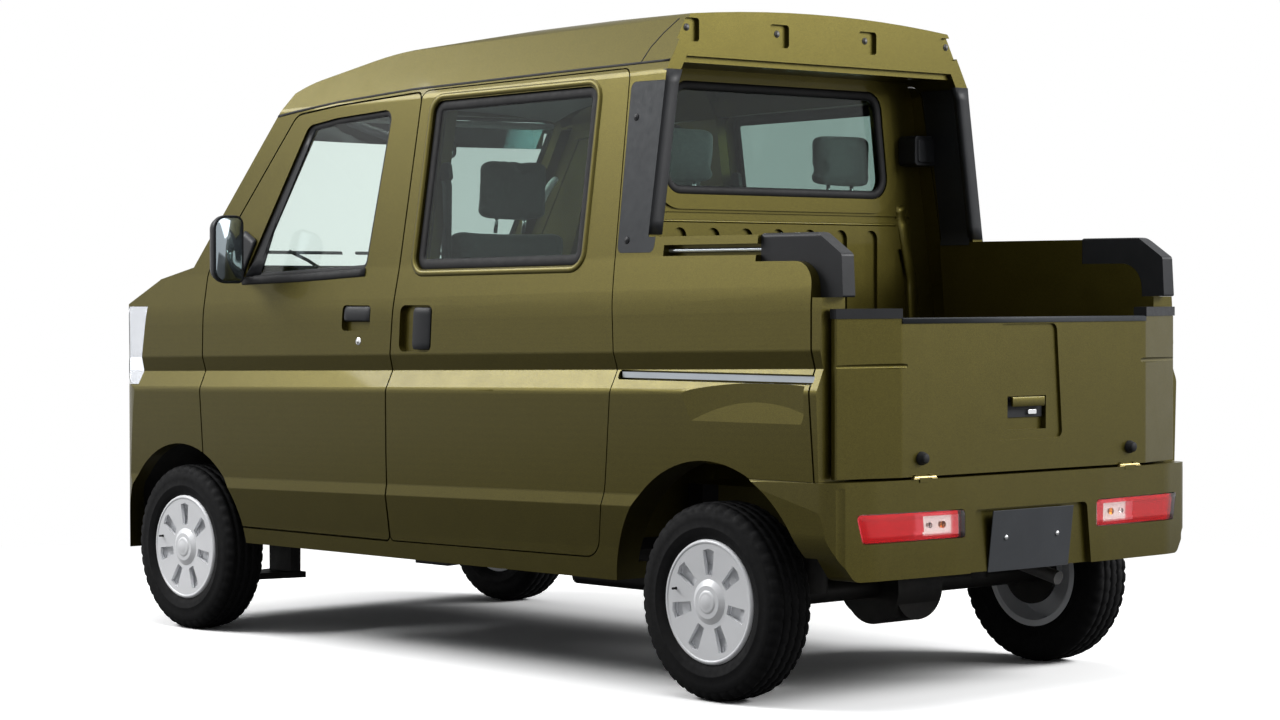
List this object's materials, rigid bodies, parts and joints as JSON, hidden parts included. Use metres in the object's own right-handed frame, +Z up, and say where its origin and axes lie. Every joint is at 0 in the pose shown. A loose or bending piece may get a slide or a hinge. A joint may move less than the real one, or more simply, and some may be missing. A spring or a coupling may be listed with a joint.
{
  "type": "double-cab kei pickup truck",
  "caption": "Small four-door pickup with a raised roof, sliding rear doors, a short load bed with a drop tailgate, steered front wheels and an open cabin.",
  "frame": {"origin": "on the ground, under the middle of the overall length and width", "axes": "+X forward, +Y to the vehicle's left, +Z up"},
  "size_m": [3.395, 1.764, 1.875],
  "materials": {
    "body_paint": "metallic paint",
    "glass": "tinted glass",
    "clear_lens": "clear lamp cover",
    "red_lens": "red lamp",
    "black_plastic": "moulded",
    "grey_trim": "moulded trim",
    "black_steel": "chassis black",
    "cast_grey": "cast",
    "rail_alloy": "drawn",
    "wheel_silver": "silver paint",
    "tyre": "rubber",
    "seat_fabric": "woven",
    "dash_plastic": "grained"
  },
  "bodies": {
    "root": {"body_side_left": "body_paint", "body_side_right": "body_paint", "roof": "body_paint", "nose_panel": "body_paint", "cowl": "black_plastic", "front_bumper": "body_paint", "grille": "black_plastic", "headlamps": "grey_trim", "headlamp_lenses": "clear_lens", "windscreen": "glass", "rear_wall": "body_paint", "rear_window": "glass", "bed_floor": "body_paint", "bed_rods": "rail_alloy", "corner_guards": "black_plastic", "slide_rails": "rail_alloy", "pillar_trims": "grey_trim", "sliding_door_left": "body_paint", "sliding_door_right": "body_paint", "sliding_glass": "glass", "rear_bumper": "body_paint", "tail_lamps": "red_lens", "floor_pan": "black_steel", "dashboard": "dash_plastic", "front_seats": "seat_fabric", "rear_bench": "seat_fabric", "engine_block": "cast_grey", "driveline": "cast_grey", "rear_axle": "black_steel", "fuel_tank": "black_plastic", "exhaust": "cast_grey", "front_suspension": "black_steel"},
    "front_door_left": {"front_door_left": "body_paint", "door_glass_left": "glass", "mirror_left": "black_plastic"},
    "front_door_right": {"front_door_right": "body_paint", "door_glass_right": "glass", "mirror_right": "black_plastic"},
    "tailgate": {"tailgate": "body_paint", "gate_caps": "black_plastic"},
    "bonnet": {"bonnet": "body_paint"},
    "steering_wheel": {"steering_wheel": "black_plastic"},
    "knuckle_left": {"knuckle_left": "cast_grey"},
    "knuckle_right": {"knuckle_right": "cast_grey"},
    "wheel_fl": {"wheel_fl": "wheel_silver", "tyre_fl": "tyre"},
    "wheel_fr": {"wheel_fr": "wheel_silver", "tyre_fr": "tyre"},
    "wheel_rl": {"wheel_rl": "wheel_silver", "tyre_rl": "tyre"},
    "wheel_rr": {"wheel_rr": "wheel_silver", "tyre_rr": "tyre"}
  },
  "joints": [
    {"name": "front_door_left", "type": "hinge", "parent": "root", "child": "front_door_left", "pos_m": [1.156, 0.7385, 0.75], "axis": [0, 0, -1], "range_deg": [0, 65]},
    {"name": "front_door_right", "type": "hinge", "parent": "root", "child": "front_door_right", "pos_m": [1.156, -0.7385, 0.75], "axis": [0, 0, 1], "range_deg": [0, 65]},
    {"name": "tailgate_drop", "type": "hinge", "parent": "root", "child": "tailgate", "pos_m": [-1.691, 0, 0.604], "axis": [0, -1, 0], "range_deg": [0, 90]},
    {"name": "bonnet_lift", "type": "hinge", "parent": "root", "child": "bonnet", "pos_m": [1.4585, 0, 1.112], "axis": [0, -1, 0], "range_deg": [0, 50]},
    {"name": "steer_left", "type": "hinge", "parent": "root", "child": "knuckle_left", "pos_m": [1.261, 0.548, 0.265], "axis": [0, 0, 1], "range_deg": [-35, 35]},
    {"name": "steer_right", "type": "hinge", "parent": "root", "child": "knuckle_right", "pos_m": [1.261, -0.548, 0.265], "axis": [0, 0, 1], "range_deg": [-35, 35]},
    {"name": "steering_wheel_turn", "type": "hinge", "parent": "root", "child": "steering_wheel", "pos_m": [0.78, -0.325, 1.015], "axis": [-0.7071, 0, 0.7071], "range_deg": [-525, 525]},
    {"name": "wheel_fl_spin", "type": "hinge", "parent": "knuckle_left", "child": "wheel_fl", "pos_m": [1.261, 0.6525, 0.265], "axis": [0, 1, 0], "continuous": true},
    {"name": "wheel_fr_spin", "type": "hinge", "parent": "knuckle_right", "child": "wheel_fr", "pos_m": [1.261, -0.6525, 0.265], "axis": [0, 1, 0], "continuous": true},
    {"name": "wheel_rl_spin", "type": "hinge", "parent": "root", "child": "wheel_rl", "pos_m": [-1.189, 0.6525, 0.265], "axis": [0, 1, 0], "continuous": true},
    {"name": "wheel_rr_spin", "type": "hinge", "parent": "root", "child": "wheel_rr", "pos_m": [-1.189, -0.6525, 0.265], "axis": [0, 1, 0], "continuous": true}
  ],
  "couplings": [
    {"joint": "steer_right", "follows": "steer_left", "ratio": 1},
    {"joint": "steering_wheel_turn", "follows": "steer_left", "ratio": 15}
  ]
}
